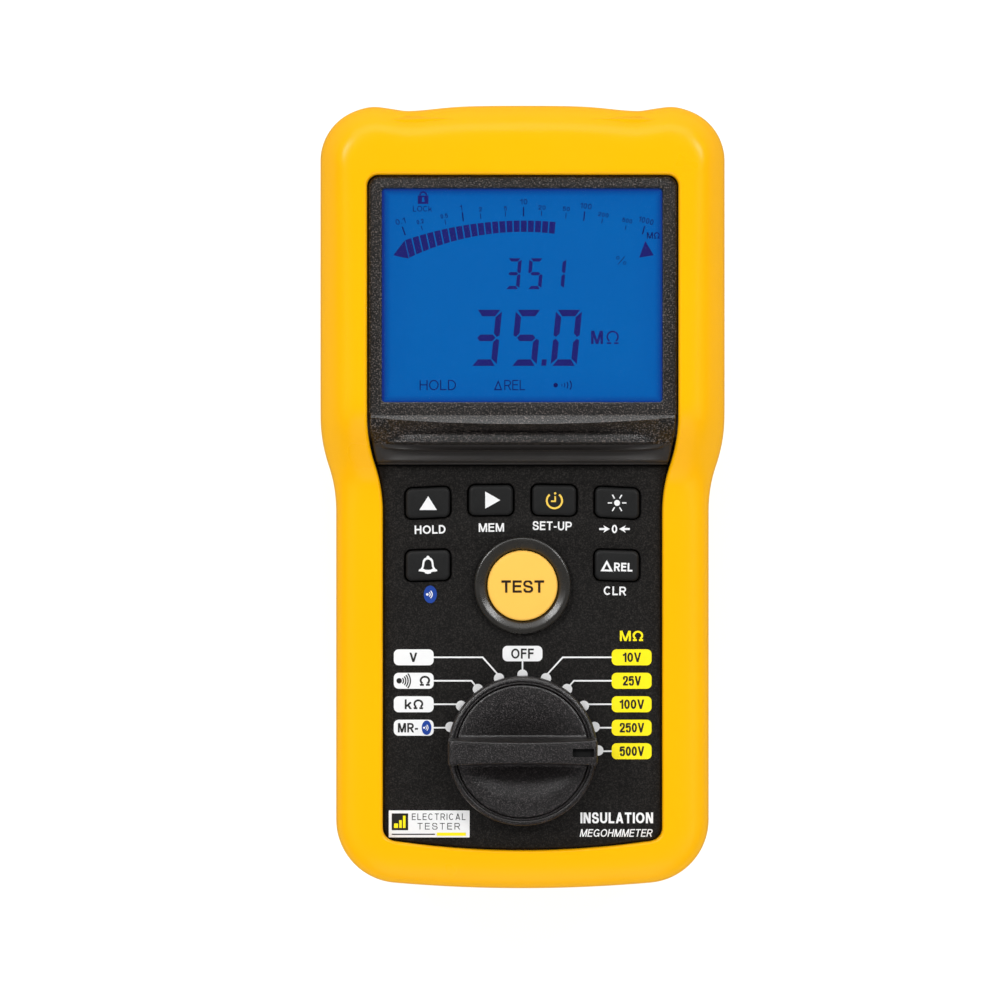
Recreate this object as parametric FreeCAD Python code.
"""Hand-held insulation resistance tester, lying on its back.
Row frame: origin under the centre of the instrument on the surface it lies on, +X to the right of the display,
+Y towards the terminal end, +Z out of the display. Millimetres.
"""
import FreeCAD, Part
import math
import os

os.makedirs("parts", exist_ok=True)
V = FreeCAD.Vector

# ---------------------------------------------------------------- driving dimensions
L_TOTAL = 211.0          # length over the elastomer sheath
W_HEAD = 108.0           # width across the display end
W_GRIP = 100.4           # width across the control end
H_HEAD = 60.0            # height of the sheath rim at the display end
H_GRIP = 49.0            # height of the sheath rim at the control end
Z_REAR = 0.8             # rear plane of the sheath, just clear of the rubber feet
T_SHEATH = 3.0           # sheath wall
GAP = 0.1                # sheath to case
T_CASE = 2.2             # case wall
Z_SPLIT = 28.0           # parting plane of the two case shells
Z_HEAD_CASE = 56.4       # outer face of the case under the display bezel
Z_GRIP_CASE = 45.4       # outer face of the case under the control faceplate
Z_HEAD_IN = 54.0
Z_GRIP_IN = 43.0
R_SHEATH_FRONT = 11.0
R_SHEATH_REAR = 8.0
R_CASE_FRONT = 5.0

OUT = dict(w1=W_HEAD / 2, w2=W_GRIP / 2, yt=L_TOTAL / 2, sagt=0.6, xt=40.4,
           yb=-L_TOTAL / 2, sagb=1.5, xb=34.6, ys1=21.0, ys2=-4.0)
OPEN = dict(w1=41.4, w2=37.5, yt=85.8, sagt=0.0, xt=38.4,
            yb=-94.7, sagb=2.5, xb=34.4, ys1=21.0, ys2=-4.0)

# display
WIN_X, WIN_Y0, WIN_Y1 = 37.2, 25.6, 82.5      # visible window
# keys: centre x, centre y, turn in degrees
KEY_W, KEY_H, KEY_R = 11.8, 8.6, 1.6
KEY_TRAVEL = 1.0
KEYS = {
    "key_up_hold": (-25.5, -1.4, 3.2),
    "key_right_mem": (-8.6, -0.7, 1.0),
    "key_timer_setup": (8.4, -0.7, -1.0),
    "key_backlight_zero": (25.3, -1.4, -3.2),
    "key_alarm_link": (-25.5, -18.2, 1.5),
    "key_delta_clear": (25.2, -18.2, -1.5),
}
Z_KEY_TOP = 48.3
# test push button
TEST_X, TEST_Y, TEST_R = 0.0, -23.6, 9.5
TEST_TRAVEL = 1.6
# rotary selector
KNOB_X, KNOB_Y, KNOB_R = 0.0, -67.9, 20.1
Z_KNOB0, Z_KNOB_SKIRT, Z_KNOB_TOP = 47.1, 51.6, 58.8
# boards
Z_MAIN = 36.9
T_PCB = 1.6
# terminals
JACK_Z = 28.5
JACK_X = {"common": -19.0, "positive": 19.0}
Y_PANEL = 100.2
# battery compartment
CELL_R, CELL_L = 7.2, 50.2
CELL_Z = 15.0
CELL_Y0, CELL_PITCH = -61.5, 14.9
# battery cover and stand
COV_X, COV_Y0, COV_Y1 = 32.0, -83.0, 27.0
STAND_AXIS = (16.0, 3.6)     # y, z


# ---------------------------------------------------------------- outline helper
def outline(P, d=0.0, z=0.0):
    """Closed wire of the instrument's plan outline P, moved inwards by d, at height z."""
    def end(w, x, sag):
        t = 2 * math.atan(sag / x) if sag else 0.0
        r = (w - x) / (1 - math.sin(t))
        return t, r
    w1, w2, yt, yb = P["w1"], P["w2"], P["yt"], P["yb"]
    tt, rt = end(w1, P["xt"], P["sagt"])
    tb, rb = end(w2, P["xb"], P["sagb"])
    c1 = (P["xt"] - rt * math.sin(tt), yt - P["sagt"] - rt * math.cos(tt))
    c2 = (P["xb"] - rb * math.sin(tb), yb + P["sagb"] + rb * math.cos(tb))
    dx, dy = w1 - w2, P["ys1"] - P["ys2"]
    R = (dx * dx + dy * dy) / (4 * dx)
    a = math.asin(dy / 2 / R)

    def off(p, n):
        return (p[0] - d * n[0], p[1] - d * n[1])

    def on(c, r, ang):      # ang measured from +Y towards +X
        n = (math.sin(ang), math.cos(ang))
        return off((c[0] + r * n[0], c[1] + r * n[1]), n)

    h = math.pi / 2
    P1 = off((P["xt"], yt - P["sagt"]), (math.sin(tt), math.cos(tt)))
    M12 = on(c1, rt, (tt + h) / 2)
    P2 = off((w1, c1[1]), (1, 0))
    P3 = off((w1, P["ys1"]), (1, 0))
    M34 = on((w1 - R, P["ys1"]), R, h + a / 2)
    P4 = on((w1 - R, P["ys1"]), R, h + a)

    def on2(t):             # concave arc, t = slope from vertical
        n = (math.cos(t), -math.sin(t))
        return off((w2 + R - R * math.cos(t), P["ys2"] + R * math.sin(t)), n)
    M45 = on2(a / 2)
    P5 = on2(0.0)
    P6 = off((w2, c2[1]), (1, 0))
    M67 = on(c2, rb, h + (h - tb) / 2)
    P7 = off((P["xb"], yb + P["sagb"]), (math.sin(tb), -math.cos(tb)))
    T0 = off((0, yt), (0, 1))
    B0 = off((0, yb), (0, -1))

    def v(p, s=1):
        return V(s * p[0], p[1], z)
    E = []
    if P["sagt"]:
        E.append(Part.Arc(v(P1, -1), v(T0), v(P1)).toShape())
    else:
        E.append(Part.LineSegment(v(P1, -1), v(P1)).toShape())
    E.append(Part.Arc(v(P1), v(M12), v(P2)).toShape())
    E.append(Part.LineSegment(v(P2), v(P3)).toShape())
    E.append(Part.Arc(v(P3), v(M34), v(P4)).toShape())
    E.append(Part.Arc(v(P4), v(M45), v(P5)).toShape())
    E.append(Part.LineSegment(v(P5), v(P6)).toShape())
    E.append(Part.Arc(v(P6), v(M67), v(P7)).toShape())
    E.append(Part.Arc(v(P7), v(B0), v(P7, -1)).toShape())
    E.append(Part.Arc(v(P7, -1), v(M67, -1), v(P6, -1)).toShape())
    E.append(Part.LineSegment(v(P6, -1), v(P5, -1)).toShape())
    E.append(Part.Arc(v(P5, -1), v(M45, -1), v(P4, -1)).toShape())
    E.append(Part.Arc(v(P4, -1), v(M34, -1), v(P3, -1)).toShape())
    E.append(Part.LineSegment(v(P3, -1), v(P2, -1)).toShape())
    E.append(Part.Arc(v(P2, -1), v(M12, -1), v(P1, -1)).toShape())
    return Part.Wire(E)


def prism(P, d, z0, z1):
    return Part.Face(outline(P, d, z0)).extrude(V(0, 0, z1 - z0))


def loop_fillet(solid, z, r):
    edges = [e for e in solid.Edges
             if abs(e.BoundBox.ZMin - z) < 1e-4 and abs(e.BoundBox.ZMax - z) < 1e-4]
    return solid.makeFillet(r, edges)


def above(ya, za, yb, zb, xw=80.0):
    """Everything above a step: height za for y over ya, height zb for y under yb, two tangent arcs between."""
    dy, dz = ya - yb, za - zb
    R = (dy * dy + dz * dz) / (4 * dz)
    a = math.asin(min(1.0, dy / 2 / R))
    lo = lambda t: V(-xw, yb + R * math.sin(t), zb + R - R * math.cos(t))
    hi = lambda t: V(-xw, ya - R * math.sin(t), za - R + R * math.cos(t))
    E = [Part.LineSegment(V(-xw, -130, zb), lo(0)).toShape(),
         Part.Arc(lo(0), lo(a / 2), lo(a)).toShape(),
         Part.Arc(lo(a), hi(a / 2), hi(0)).toShape(),
         Part.LineSegment(hi(0), V(-xw, 130, za)).toShape(),
         Part.LineSegment(V(-xw, 130, za), V(-xw, 130, 120)).toShape(),
         Part.LineSegment(V(-xw, 130, 120), V(-xw, -130, 120)).toShape(),
         Part.LineSegment(V(-xw, -130, 120), V(-xw, -130, zb)).toShape()]
    return Part.Face(Part.Wire(E)).extrude(V(2 * xw, 0, 0))


def box(x0, x1, y0, y1, z0, z1):
    return Part.makeBox(x1 - x0, y1 - y0, z1 - z0, V(x0, y0, z0))


def rbox(x0, x1, y0, y1, z0, z1, r):
    """Box with rounded vertical edges."""
    b = box(x0, x1, y0, y1, z0, z1)
    e = [k for k in b.Edges if abs(k.BoundBox.ZLength - (z1 - z0)) < 1e-6 and k.BoundBox.XLength < 1e-6
         and k.BoundBox.YLength < 1e-6]
    return b.makeFillet(r, e)


def cyl(x, y, z0, z1, r):
    return Part.makeCylinder(r, z1 - z0, V(x, y, z0))


def ycyl(x, y0, y1, z, r):
    return Part.makeCylinder(r, y1 - y0, V(x, y0, z), V(0, 1, 0))


def xcyl(x0, x1, y, z, r):
    return Part.makeCylinder(r, x1 - x0, V(x0, y, z), V(1, 0, 0))


def turned(shape, cx, cy, deg):
    s = shape.copy()
    s.rotate(V(cx, cy, 0), V(0, 0, 1), deg)
    return s


def revolve(pts, x, y):
    """Solid of revolution about the vertical line through x, y. pts are (radius, z)."""
    w = Part.makePolygon([V(x + r, y, z) for r, z in pts] + [V(x + pts[0][0], y, pts[0][1])])
    return Part.Face(w).revolve(V(x, y, 0), V(0, 0, 1), 360)


def fuse(a, *rest):
    return a.fuse(list(rest)).removeSplitter()


def cut(a, *rest):
    return a.cut(list(rest))


NODES = {}


def add(name, *shapes):
    solids = []
    for s in shapes:
        solids += s.Solids
    for s in solids:
        assert s.isValid() and s.isClosed() and s.Volume > 0, name
    out = solids[0] if len(solids) == 1 else Part.makeCompound(solids)
    NODES[name] = out
    out.exportStep("parts/%s.step" % name)
    b = out.BoundBox
    print("%-24s solids %d faces %d vol %.1f  x %.1f %.1f  y %.1f %.1f  z %.2f %.2f" % (
        name, len(solids), len(out.Faces), out.Volume, b.XMin, b.XMax, b.YMin, b.YMax, b.ZMin, b.ZMax))
    return out


# ---------------------------------------------------------------- enclosure blocks
STEP_SHEATH = above(24.0, H_HEAD, 3.0, H_GRIP)
STEP_CASE = above(22.0, Z_HEAD_CASE, 9.0, Z_GRIP_CASE)
STEP_CASE_UP = above(22.0, Z_HEAD_CASE + GAP, 9.0 - GAP, Z_GRIP_CASE + GAP)
STEP_INNER = above(24.4, Z_HEAD_IN, 11.4, Z_GRIP_IN)
STEP_BEZEL = above(23.0, 57.8, 8.0, 46.9)


def stepped(d, z0, zh, zg, step, rf, rr=0.0):
    """Block with the plan outline moved in by d, a high head and a low grip end, and rounded front and rear edges."""
    head = loop_fillet(prism(OUT, d, z0, zh), zh, rf)
    grip = loop_fillet(prism(OUT, d, z0, zg), zg, rf)
    if rr:
        head = loop_fillet(head, z0, rr)
        grip = loop_fillet(grip, z0, rr)
    return fuse(head.cut(step), grip)


# window in the terminal end
sheath_outer = stepped(0.0, Z_REAR, H_HEAD, H_GRIP, STEP_SHEATH, R_SHEATH_FRONT, R_SHEATH_REAR)
sheath_in = stepped(T_SHEATH - GAP, 3.4, Z_HEAD_CASE + GAP, Z_GRIP_CASE + GAP, STEP_CASE_UP, R_CASE_FRONT)
tw = box(-34.0, 34.0, 92.0, 120.0, 16.0, 41.0)
tw = tw.makeFillet(4.0, [e for e in tw.Edges if abs(e.BoundBox.YLength - 28.0) < 1e-6])
sheath = cut(sheath_outer, sheath_in, prism(OPEN, 0.0, 40.0, 70.0), prism(OUT, 9.0, -5.0, 10.0), tw)
add("protective_sheath", sheath)

# ---------------------------------------------------------------- rear case
BOSS = [(41.0, 92.0), (-41.0, 92.0), (34.5, -90.5), (-34.5, -90.5)]
TUB = (-29.6, 29.6, -71.2, 22.6)              # inner walls of the battery compartment
rear = fuse(prism(OUT, T_SHEATH, 3.5, Z_SPLIT), prism(OUT, 9.2, 1.5, 3.5))
rear = cut(rear, prism(OUT, T_SHEATH + T_CASE, 5.5, Z_SPLIT + 1))
tub_out = box(TUB[0] - 1.6, TUB[1] + 1.6, TUB[2] - 1.6, TUB[3] + 1.6, 4.0, 24.2)
rear = fuse(rear, tub_out)
for x, y in BOSS:
    rear = fuse(rear, cyl(x, y, 4.0, Z_SPLIT, 4.2))
rear = cut(rear, box(TUB[0], TUB[1], TUB[2], TUB[3], 0.0, 22.6))
# seat of the battery cover
rear = cut(rear, rbox(-COV_X - 0.2, COV_X + 0.2, COV_Y0 - 0.2, COV_Y1 + 0.2, 0.0, 3.9, 3.2))
SCREWS = {"left": (-24.0, -78.0), "right": (24.0, -78.0)}
for x, y in SCREWS.values():
    rear = fuse(rear, cyl(x, y, 3.9, 12.0, 6.8))
    rear = cut(rear, cyl(x, y, 0.0, 5.4, 5.6), cyl(x, y, 0.0, 10.6, 3.4))
for x, y in BOSS:
    rear = cut(rear, cyl(x, y, 0.0, 16.0, 3.2), cyl(x, y, 10.0, 30.0, 1.6))
# windows for the terminal block
tc = box(-33.8, 33.8, 92.0, 110.0, 16.2, 40.8)
rear = cut(rear, tc)
groove = prism(OUT, 3.7, Z_SPLIT - 0.5, Z_SPLIT + 0.5).cut(prism(OUT, 4.5, Z_SPLIT - 1, Z_SPLIT + 1))
rear = cut(rear, groove)
# seats of the feet and the magnets
FEET = [(30.0, 88.0), (-30.0, 88.0), (25.0, -90.5), (-25.0, -90.5)]
MAGNETS = [(20.0, 60.0), (-20.0, 60.0)]
for x, y in FEET:
    rear = cut(rear, rbox(x - 6.05, x + 6.05, y - 3.05, y + 3.05, 0.0, 2.6, 2.9))
for x, y in MAGNETS:
    rear = fuse(rear, cyl(x, y, 4.0, 7.2, 11.2))
    rear = cut(rear, cyl(x, y, 0.0, 5.6, 9.7))
add("rear_case", rear)

# ---------------------------------------------------------------- front case
front = stepped(T_SHEATH, Z_SPLIT, Z_HEAD_CASE, Z_GRIP_CASE, STEP_CASE, R_CASE_FRONT)
cav = prism(OUT, T_SHEATH + T_CASE, Z_SPLIT - 1, 60.0).cut(STEP_INNER)
front = cut(front, cav)
for x, y in BOSS:
    top = Z_HEAD_IN + 1 if y > 0 else Z_GRIP_IN + 1
    front = fuse(front, cyl(x, y, Z_SPLIT, top, 4.0))
MAIN_POSTS = [(37.0, 2.0), (-37.0, 2.0), (37.0, -79.0), (-37.0, -79.0)]
DISP_POSTS = [(44.6, 30.0), (-44.6, 30.0), (44.6, 80.0), (-44.6, 80.0)]
for x, y in MAIN_POSTS:
    front = fuse(front, cyl(x, y, Z_MAIN + T_PCB, Z_GRIP_IN + 1, 2.6))
for x, y in DISP_POSTS:
    front = fuse(front, cyl(x, y, 47.6, Z_HEAD_IN + 1, 2.2))
for x, y in BOSS:
    front = cut(front, cyl(x, y, 20.0, 40.0, 1.55))
for x, y in MAIN_POSTS:
    front = cut(front, cyl(x, y, 30.0, 42.6, 1.15))
for x, y in DISP_POSTS:
    front = cut(front, cyl(x, y, 40.0, 53.0, 0.95))
front = cut(front, rbox(-39.2, 39.2, 24.3, 84.2, 50.0, 60.0, 2.0))
front = cut(front, tc, groove)
for n, (x, y, t) in KEYS.items():
    front = cut(front, turned(rbox(x - KEY_W / 2 - 0.4, x + KEY_W / 2 + 0.4, y - KEY_H / 2 - 0.4, y + KEY_H / 2 + 0.4,
                                   40.0, 50.0, KEY_R + 0.4), x, y, t))
front = cut(front, cyl(TEST_X, TEST_Y, 40.0, 50.0, 9.9), cyl(KNOB_X, KNOB_Y, 40.0, 50.0, 3.6),
            cyl(KNOB_X, KNOB_Y, 44.0, 50.0, 6.0))
add("front_case", front)

seal = prism(OUT, 3.75, Z_SPLIT - 0.45, Z_SPLIT + 0.45).cut(prism(OUT, 4.45, Z_SPLIT - 1, Z_SPLIT + 1))
add("case_gasket", cut(seal, box(-34.6, 34.6, 92.0, 110.0, 16.0, 41.0)))

# ---------------------------------------------------------------- bezel, window, display
bez = prism(OPEN, 0.35, 44.0, 60.0).cut(STEP_BEZEL)
bez = bez.common(box(-60, 60, 9.0, 100, 40, 70)).common(STEP_CASE)
bez = cut(bez, rbox(-WIN_X, WIN_X, WIN_Y0, WIN_Y1, 50.0, 60.0, 1.8))
we = [e for e in bez.Edges if abs(e.BoundBox.ZMin - 57.8) < 1e-3 and abs(e.BoundBox.ZMax - 57.8) < 1e-3
      and abs(e.BoundBox.Center.x) < 38 and e.BoundBox.YMin > 25.3 and e.BoundBox.YMax < 82.8]
try:
    b2 = bez.makeChamfer(0.5, we)
    if b2.isValid():
        bez = b2
except Exception as err:
    print("bezel chamfer", err)
add("display_bezel", bez)
add("display_window", rbox(-39.0, 39.0, 24.5, 84.0, 54.6, 56.4, 1.8))
add("lcd_panel", rbox(-39.6, 39.6, 23.6, 85.4, 51.4, 53.6, 0.6))
holder = cut(box(-41.4, 41.4, 23.0, 86.6, 48.0, 53.4), box(-39.7, 39.7, 23.5, 85.5, 47.0, 55.0))
add("lcd_holder", holder)
add("backlight_panel", box(-38.0, 38.0, 26.4, 83.2, 48.2, 51.3))
add("lcd_contact_strips", box(-37.0, 37.0, 23.7, 25.9, 47.65, 51.35), box(-37.0, 37.0, 83.5, 85.3, 47.65, 51.35))
add("display_board", cut(box(-46.8, 46.8, 22.8, 87.0, 46.0, 47.6), *[cyl(x, y, 40, 50, 1.0) for x, y in DISP_POSTS]))
board_screws = [fuse(cyl(x, y, 44.6, 46.0, 1.7), cyl(x, y, 45.0, 52.0, 0.9)) for x, y in DISP_POSTS]

# ---------------------------------------------------------------- control faceplate and keys
face = prism(OPEN, 0.35, Z_GRIP_CASE, 46.8).common(box(-60, 60, -120, 8.7, 40, 60))
for n, (x, y, t) in KEYS.items():
    face = cut(face, turned(rbox(x - KEY_W / 2 - 0.4, x + KEY_W / 2 + 0.4, y - KEY_H / 2 - 0.4, y + KEY_H / 2 + 0.4,
                                 40.0, 50.0, KEY_R + 0.4), x, y, t))
face = cut(face, cyl(TEST_X, TEST_Y, 40, 50, 13.3), cyl(KNOB_X, KNOB_Y, 40, 50, 6.0))
add("control_faceplate", face)

for n, (x, y, t) in KEYS.items():
    cap = rbox(x - KEY_W / 2, x + KEY_W / 2, y - KEY_H / 2, y + KEY_H / 2, 42.0, Z_KEY_TOP, KEY_R)
    te = [e for e in cap.Edges if abs(e.BoundBox.ZMin - Z_KEY_TOP) < 1e-4]
    cap = cap.makeFillet(0.7, te)
    flange = rbox(x - KEY_W / 2 - 0.9, x + KEY_W / 2 + 0.9, y - KEY_H / 2 - 0.9, y + KEY_H / 2 + 0.9, 41.6, 42.8, 2.0)
    stem = cyl(x, y, 40.5, 42.0, 1.6)
    add(n, turned(fuse(cap, flange, stem), x, y, t))
mat = rbox(-35.0, 35.0, -35.6, 7.4, 41.5, 42.9, 2.0)
mat = cut(mat, box(34.0, 40.0, -1.0, 7.6, 40, 44), box(-40.0, -34.0, -1.0, 7.6, 40, 44))
for n, (x, y, t) in KEYS.items():
    mat = cut(mat, turned(rbox(x - KEY_W / 2 - 1.3, x + KEY_W / 2 + 1.3, y - KEY_H / 2 - 1.3, y + KEY_H / 2 + 1.3,
                               40, 44, 2.2), x, y, t))
mat = cut(mat, cyl(TEST_X, TEST_Y, 40, 44, 11.4))
add("keypad_mat", mat)
domes = [revolve([(0, 38.55), (3.4, 38.55), (2.9, 38.95), (1.5, 39.25), (0, 39.3)], x, y) for x, y, t in KEYS.values()]
domes.append(revolve([(0, 38.55), (4.4, 38.55), (3.6, 39.0), (2.0, 39.3), (0, 39.35)], TEST_X, TEST_Y))
add("key_contact_domes", *domes)

btn = revolve([(0, 43.0), (TEST_R, 43.0), (TEST_R, 48.5), (TEST_R - 0.25, 48.95), (TEST_R - 0.8, 49.25), (6.0, 49.55),
               (3.0, 49.68), (0, 49.72)], TEST_X, TEST_Y)
btn = fuse(btn, cyl(TEST_X, TEST_Y, 41.5, 43.0, TEST_R), cyl(TEST_X, TEST_Y, 41.5, 42.8, 10.6),
           cyl(TEST_X, TEST_Y, 41.05, 42.0, 2.4))
add("test_button", btn)
collar = revolve([(9.9, 45.4), (13.2, 45.4), (13.2, 48.1), (13.0, 48.7), (12.5, 49.1), (12.0, 49.05), (11.2, 48.55),
                  (10.4, 48.2), (9.9, 48.1)], TEST_X, TEST_Y)
add("test_button_collar", collar)

# ---------------------------------------------------------------- rotary selector
sk = revolve([(0, Z_KNOB0), (KNOB_R - 0.3, Z_KNOB0), (KNOB_R, Z_KNOB0 + 0.4), (KNOB_R - 0.15, Z_KNOB_SKIRT - 0.7),
              (KNOB_R - 0.8, Z_KNOB_SKIRT), (0, Z_KNOB_SKIRT)], KNOB_X, KNOB_Y)
sk = cut(sk, cyl(KNOB_X, KNOB_Y, Z_KNOB_SKIRT - 0.6, 60, 18.9).cut(cyl(KNOB_X, KNOB_Y, 40, 70, 18.3)))
for s in (1, -1):
    sc = Part.makeCylinder(34.0, 60.0, V(-30, KNOB_Y + s * 5.0, 83.3), V(1, 0, 0))
    sc = sc.common(cyl(KNOB_X, KNOB_Y, 40, 70, 18.0)).common(
        box(-30, 30, KNOB_Y + 3.0, KNOB_Y + 30, 40, 70) if s > 0 else box(-30, 30, KNOB_Y - 30, KNOB_Y - 3.0, 40, 70))
    sk = cut(sk, sc)
bar = Part.Face(Part.makePolygon([V(-25, KNOB_Y - 3.75, 48.4), V(-25, KNOB_Y + 3.75, 48.4), V(-25, KNOB_Y + 2.95, Z_KNOB_TOP),
                                  V(-25, KNOB_Y - 2.95, Z_KNOB_TOP), V(-25, KNOB_Y - 3.75, 48.4)])).extrude(V(50, 0, 0))
bar = bar.common(revolve([(0, 40), (KNOB_R - 0.1, 40), (KNOB_R - 0.4, Z_KNOB_TOP - 1.2), (KNOB_R - 1.6, Z_KNOB_TOP + 0.2),
                          (0, Z_KNOB_TOP + 0.2)], KNOB_X, KNOB_Y))
knob = fuse(sk, bar)
knob = cut(knob, box(13.2, 18.9, KNOB_Y - 1.1, KNOB_Y + 1.1, Z_KNOB_TOP - 1.0, 70))
# socket for the rotor's driving end
knob = cut(knob, cyl(KNOB_X, KNOB_Y, 40, 52.2, 3.3), cyl(KNOB_X, KNOB_Y, 40, Z_KNOB0 + 0.001, 5.0))
add("rotary_knob", knob)
rotor = fuse(cyl(KNOB_X, KNOB_Y, 40.4, 42.4, 14.6), cyl(KNOB_X, KNOB_Y, 40.4, 45.0, 3.54), cyl(KNOB_X, KNOB_Y, 44.0, 52.1, 3.25))
rotor = cut(rotor, cyl(KNOB_X, KNOB_Y, 30, 50.5, 1.3))
for s in (1, -1):
    rotor = cut(rotor, xcyl(*(sorted((KNOB_X + s * 9.6, KNOB_X + s * 15.5))), KNOB_Y, 41.4, 0.85))
add("switch_rotor", rotor)
add("knob_screw", fuse(cyl(KNOB_X, KNOB_Y, 39.3, 40.4, 2.6), cyl(KNOB_X, KNOB_Y, 40.0, 50.0, 1.25)))
balls, dsp = [], []
for s in (1, -1):
    balls.append(Part.makeSphere(0.8, V(KNOB_X + s * 14.75, KNOB_Y, 41.4)))
    dsp.append(xcyl(*(sorted((KNOB_X + s * 9.7, KNOB_X + s * 13.9))), KNOB_Y, 41.4, 0.7))
add("detent_plungers", *balls, *dsp)
wip = []
for r, a in ((8.0, 35.0), (11.0, 155.0), (13.2, 275.0)):
    w = fuse(box(KNOB_X + r - 1.2, KNOB_X + r + 1.2, KNOB_Y - 3.2, KNOB_Y + 3.2, 40.05, 40.4),
             box(KNOB_X + r - 0.8, KNOB_X + r + 0.8, KNOB_Y + 1.0, KNOB_Y + 3.0, 38.75, 40.2))
    w.rotate(V(KNOB_X, KNOB_Y, 0), V(0, 0, 1), a)
    wip.append(w)
add("wiper_contacts", *wip)
ring = cyl(KNOB_X, KNOB_Y, 40.6, 43.0, 18.4).cut(cyl(KNOB_X, KNOB_Y, 40, 44, 16.1))
for k in range(20):
    a = math.radians(18 * k)
    ring = ring.cut(cyl(KNOB_X + 16.3 * math.cos(a), KNOB_Y + 16.3 * math.sin(a), 40, 44, 0.95))
add("detent_ring", ring)
add("shaft_seal", Part.makeTorus(4.75, 0.65, V(KNOB_X, KNOB_Y, 45.0)).common(cyl(KNOB_X, KNOB_Y, 44.0, 46.0, 6.0)))

# ---------------------------------------------------------------- boards
mb = box(-41.0, 41.0, -84.0, 34.0, Z_MAIN, Z_MAIN + T_PCB)
mb = cut(mb, cyl(KNOB_X, KNOB_Y, 30, 40, 3.6), *[cyl(x, y, 30, 40, 1.25) for x, y in MAIN_POSTS])
add("main_board", mb)
add("board_screws", *board_screws, *[fuse(cyl(x, y, 35.4, Z_MAIN, 2.2), cyl(x, y, 36.0, 42.0, 1.1)) for x, y in MAIN_POSTS])
add("board_connector", box(-14.0, 14.0, 24.6, 29.8, Z_MAIN + T_PCB, 46.0))
add("power_board", box(-45.0, 45.0, 29.0, 78.0, 20.0, 21.6))
posts = [(41.0, 33.0), (-41.0, 33.0), (41.0, 73.5), (-41.0, 73.5)]
add("power_board_spacers", *[cyl(x, y, 5.5, 20.0, 2.6) for x, y in posts])
trf = fuse(box(-36.0, -13.0, 40.0, 60.0, 22.6, 37.0), box(-34.0, -15.0, 42.0, 58.0, 21.6, 40.0))
add("high_voltage_transformer", trf)
add("smoothing_capacitors", *[cyl(x, y, 21.6, 39.0, 5.0) for x, y in ((0.0, 44.0), (12.0, 44.0), (0.0, 56.0))])
add("relays", box(22.0, 37.0, 36.0, 46.0, 21.6, 33.0), box(22.0, 37.0, 50.0, 60.0, 21.6, 33.0))
add("fuse_link", xcyl(-16.0, 16.0, 68.0, 26.0, 3.15))
add("fuse_clips", *[cut(box(x, x + 6.0, 63.6, 72.4, 21.6, 28.0), xcyl(x - 1, x + 7.0, 68.0, 26.0, 3.2)) for x in (-15.0, 9.0)])
add("processor_chips", box(-30.0, -16.0, -50.0, -36.0, 35.3, Z_MAIN), box(8.0, 18.0, -46.0, -36.0, 35.5, Z_MAIN),
    box(-8.0, 4.0, -24.0, -14.0, 35.3, Z_MAIN))
add("wireless_module", fuse(box(20.0, 36.0, -30.0, -8.0, 35.9, Z_MAIN), box(21.5, 34.5, -24.0, -9.5, 33.8, 36.0)))
add("buzzer", fuse(cyl(-28.0, 14.0, 30.0, Z_MAIN, 7.0), cyl(-28.0, 14.0, 29.2, 30.2, 2.0)))

# ---------------------------------------------------------------- terminals
panel = box(-33.4, 33.4, 86.0, Y_PANEL, 16.6, 40.4)
for x in (-19.0, 0.0, 19.0):
    panel = cut(panel, ycyl(x, 80, 110, JACK_Z, 6.65))
add("terminal_block", panel)
for k, x in JACK_X.items():
    sl = cut(ycyl(x, 80.0, 100.6, JACK_Z, 6.6), ycyl(x, 82.0, 110, JACK_Z, 4.3), ycyl(x, 70, 84, JACK_Z, 1.6))
    add("jack_sleeve_" + k, sl)
con = []
for x in JACK_X.values():
    c = fuse(ycyl(x, 82.0, 98.6, JACK_Z, 3.0), ycyl(x, 75.0, 83.0, JACK_Z, 1.5))
    c = cut(c, ycyl(x, 84.0, 110, JACK_Z, 2.0))
    con.append(c)
for k, x in enumerate(JACK_X.values()):
    con[k] = fuse(con[k], box(x - 2.4, x + 2.4, 73.6, 75.0, 21.6, JACK_Z + 2.4), box(x - 2.4, x + 2.4, 70.4, 75.0, 21.6, 22.4))
add("jack_contacts", *con)
ps = ycyl(0, 84.0, 100.6, JACK_Z, 6.6)
ps = cut(ps, ycyl(0, 93.0, 110, JACK_Z, 5.2).cut(ycyl(0, 92, 111, JACK_Z, 3.9)))
pin_xy = [(1.9 * math.cos(math.radians(a)), 1.9 * math.sin(math.radians(a))) for a in (45, 135, 225, 315)]
ps = cut(ps, *[ycyl(px, 82.0, 110, JACK_Z + pz, 0.75) for px, pz in pin_xy])
add("probe_socket", ps)
add("probe_socket_contacts", *[cut(ycyl(px, 80.0, 99.6, JACK_Z + pz, 0.7), ycyl(px, 92.0, 110, JACK_Z + pz, 0.4)) for px, pz in pin_xy])

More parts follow.
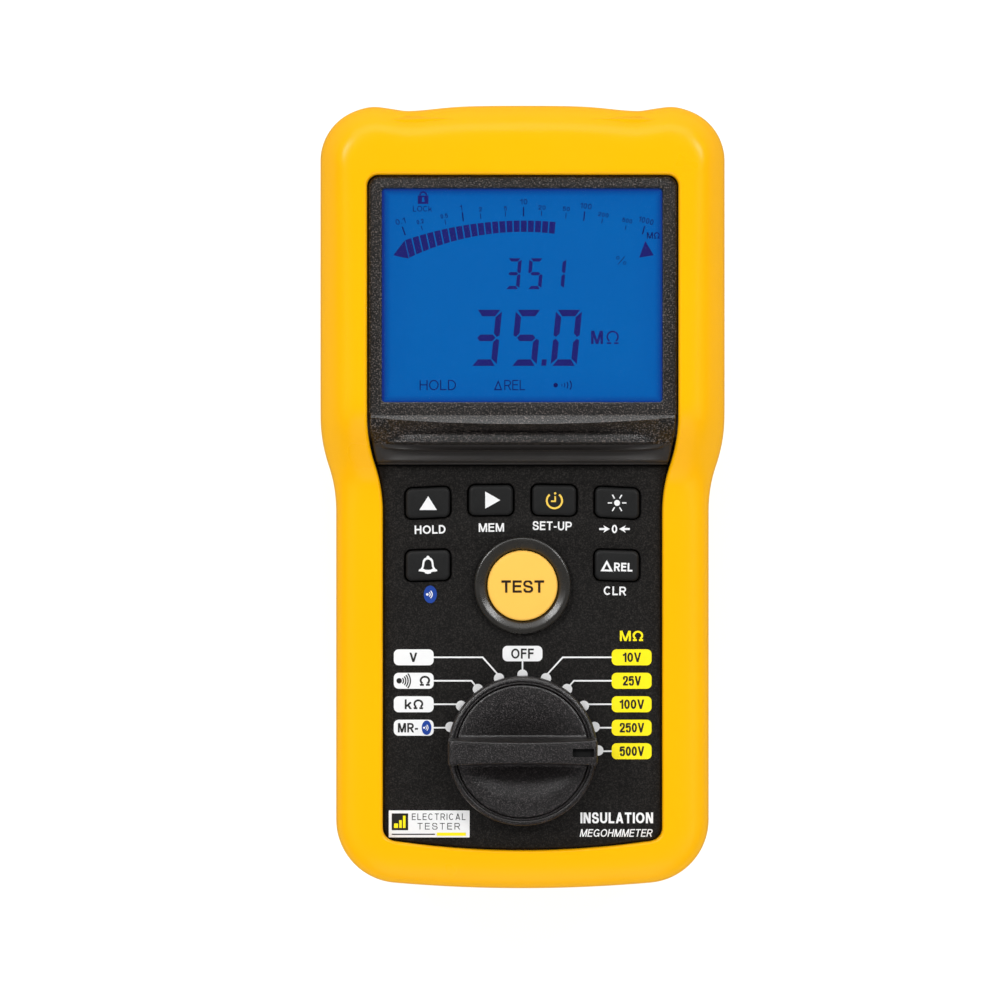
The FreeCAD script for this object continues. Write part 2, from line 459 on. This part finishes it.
# ---------------------------------------------------------------- batteries
cells, bsp, bpl = [], [], []
for k in range(6):
    y = CELL_Y0 + CELL_PITCH * k
    s = 1 if k % 2 else -1
    xa = -CELL_L / 2 - s * 1.6
    body = xcyl(xa + 0.0, xa + CELL_L - 1.2, y, CELL_Z, CELL_R) if s > 0 else xcyl(xa + 1.2, xa + CELL_L, y, CELL_Z, CELL_R)
    nub = xcyl(xa + CELL_L - 1.3, xa + CELL_L, y, CELL_Z, 2.7) if s > 0 else xcyl(xa, xa + 1.3, y, CELL_Z, 2.7)
    cells.append(fuse(body, nub))
    neg = xa if s > 0 else xa + CELL_L
    # flat-wound contact spring at the negative end
    wall = TUB[0] + 0.5 if s > 0 else TUB[1] - 0.5
    n = 4
    for j in range(n):
        f = (j + 0.44) / n
        x = wall + (neg - wall) * f
        bsp.append(Part.makeTorus(4.6 - 2.0 * f * 0.9, 0.34, V(x, y, CELL_Z), V(1, 0, 0)))
    for wx in (TUB[0] + 0.05, TUB[1] - 0.4):
        bpl.append(box(wx, wx + 0.35, y - 5.5, y + 5.5, 9.6, 20.6))
add("battery_cells", *cells)
add("battery_springs", *bsp)
add("battery_contacts", *bpl)

# ---------------------------------------------------------------- battery cover with stand
cov = rbox(-COV_X, COV_X, COV_Y0, COV_Y1, 1.5, 3.7, 3.0)
tray_out = rbox(-25.6, 25.6, -61.6, 21.6, 3.0, 7.3, 2.0)
cov = fuse(cov, tray_out)
cov = cut(cov, rbox(-23.8, 23.8, -52.4, 19.6, 0.0, 6.1, 1.5), rbox(-9.0, 9.0, -60.0, -50.0, 0.0, 6.1, 2.0))
for s in (1, -1):
    cov = cut(cov, xcyl(*(sorted((s * 23.0, s * 25.0))), STAND_AXIS[0], STAND_AXIS[1], 1.2))
for x, y in SCREWS.values():
    cov = fuse(cov, cyl(x, y, 3.0, 5.2, 5.3))
    cov = cut(cov, cyl(x, y, 0, 8, 3.0), cyl(x, y, 0, 3.9, 4.7))
add("battery_cover", cov)
ay, az = STAND_AXIS
st = rbox(-23.2, 23.2, -51.0, ay, 1.7, 4.9, 1.2)
st = cut(st, box(-30, 30, ay - 0.001, ay + 5, 0, 8))
st = fuse(st, xcyl(-23.2, 23.2, ay, az, 1.85))
for k in range(3):
    st = cut(st, box(-18.0, 18.0, -40.0 + 16 * k, -28.0 + 16 * k, 3.4, 6.0))
st = cut(st, *[xcyl(*(sorted((s * 17.0, s * 24.0))), ay, az, 1.2) for s in (1, -1)])
add("tilt_stand", st)
add("stand_hinge_pins", *[xcyl(*(sorted((s * 17.1, s * 24.9))), ay, az, 1.17) for s in (1, -1)])
for k, (x, y) in SCREWS.items():
    sc = fuse(cyl(x, y, 1.6, 3.8, 4.5), cyl(x, y, 3.0, 10.2, 2.9))
    sc = cut(sc, box(x - 3.8, x + 3.8, y - 0.7, y + 0.7, 1.0, 3.0))
    add("cover_screw_" + k, sc)

# ---------------------------------------------------------------- feet, magnets, screws
add("rubber_feet", *[rbox(x - 6.0, x + 6.0, y - 3.0, y + 3.0, 0.0, 2.55, 2.85) for x, y in FEET])
add("rear_magnets", *[cyl(x, y, 1.1, 5.55, 9.5) for x, y in MAGNETS])
add("case_screws", *[cut(fuse(cyl(x, y, 13.4, 16.0, 2.9), cyl(x, y, 15.0, 38.0, 1.5)),
                         box(x - 0.45, x + 0.45, y - 1.9, y + 1.9, 13.0, 14.6),
                         box(x - 1.9, x + 1.9, y - 0.45, y + 0.45, 13.0, 14.6)) for x, y in BOSS])
add("rating_label", rbox(-30.0, 30.0, 32.0, 46.0, 1.32, 1.5, 1.2))
print(len(NODES), "nodes")
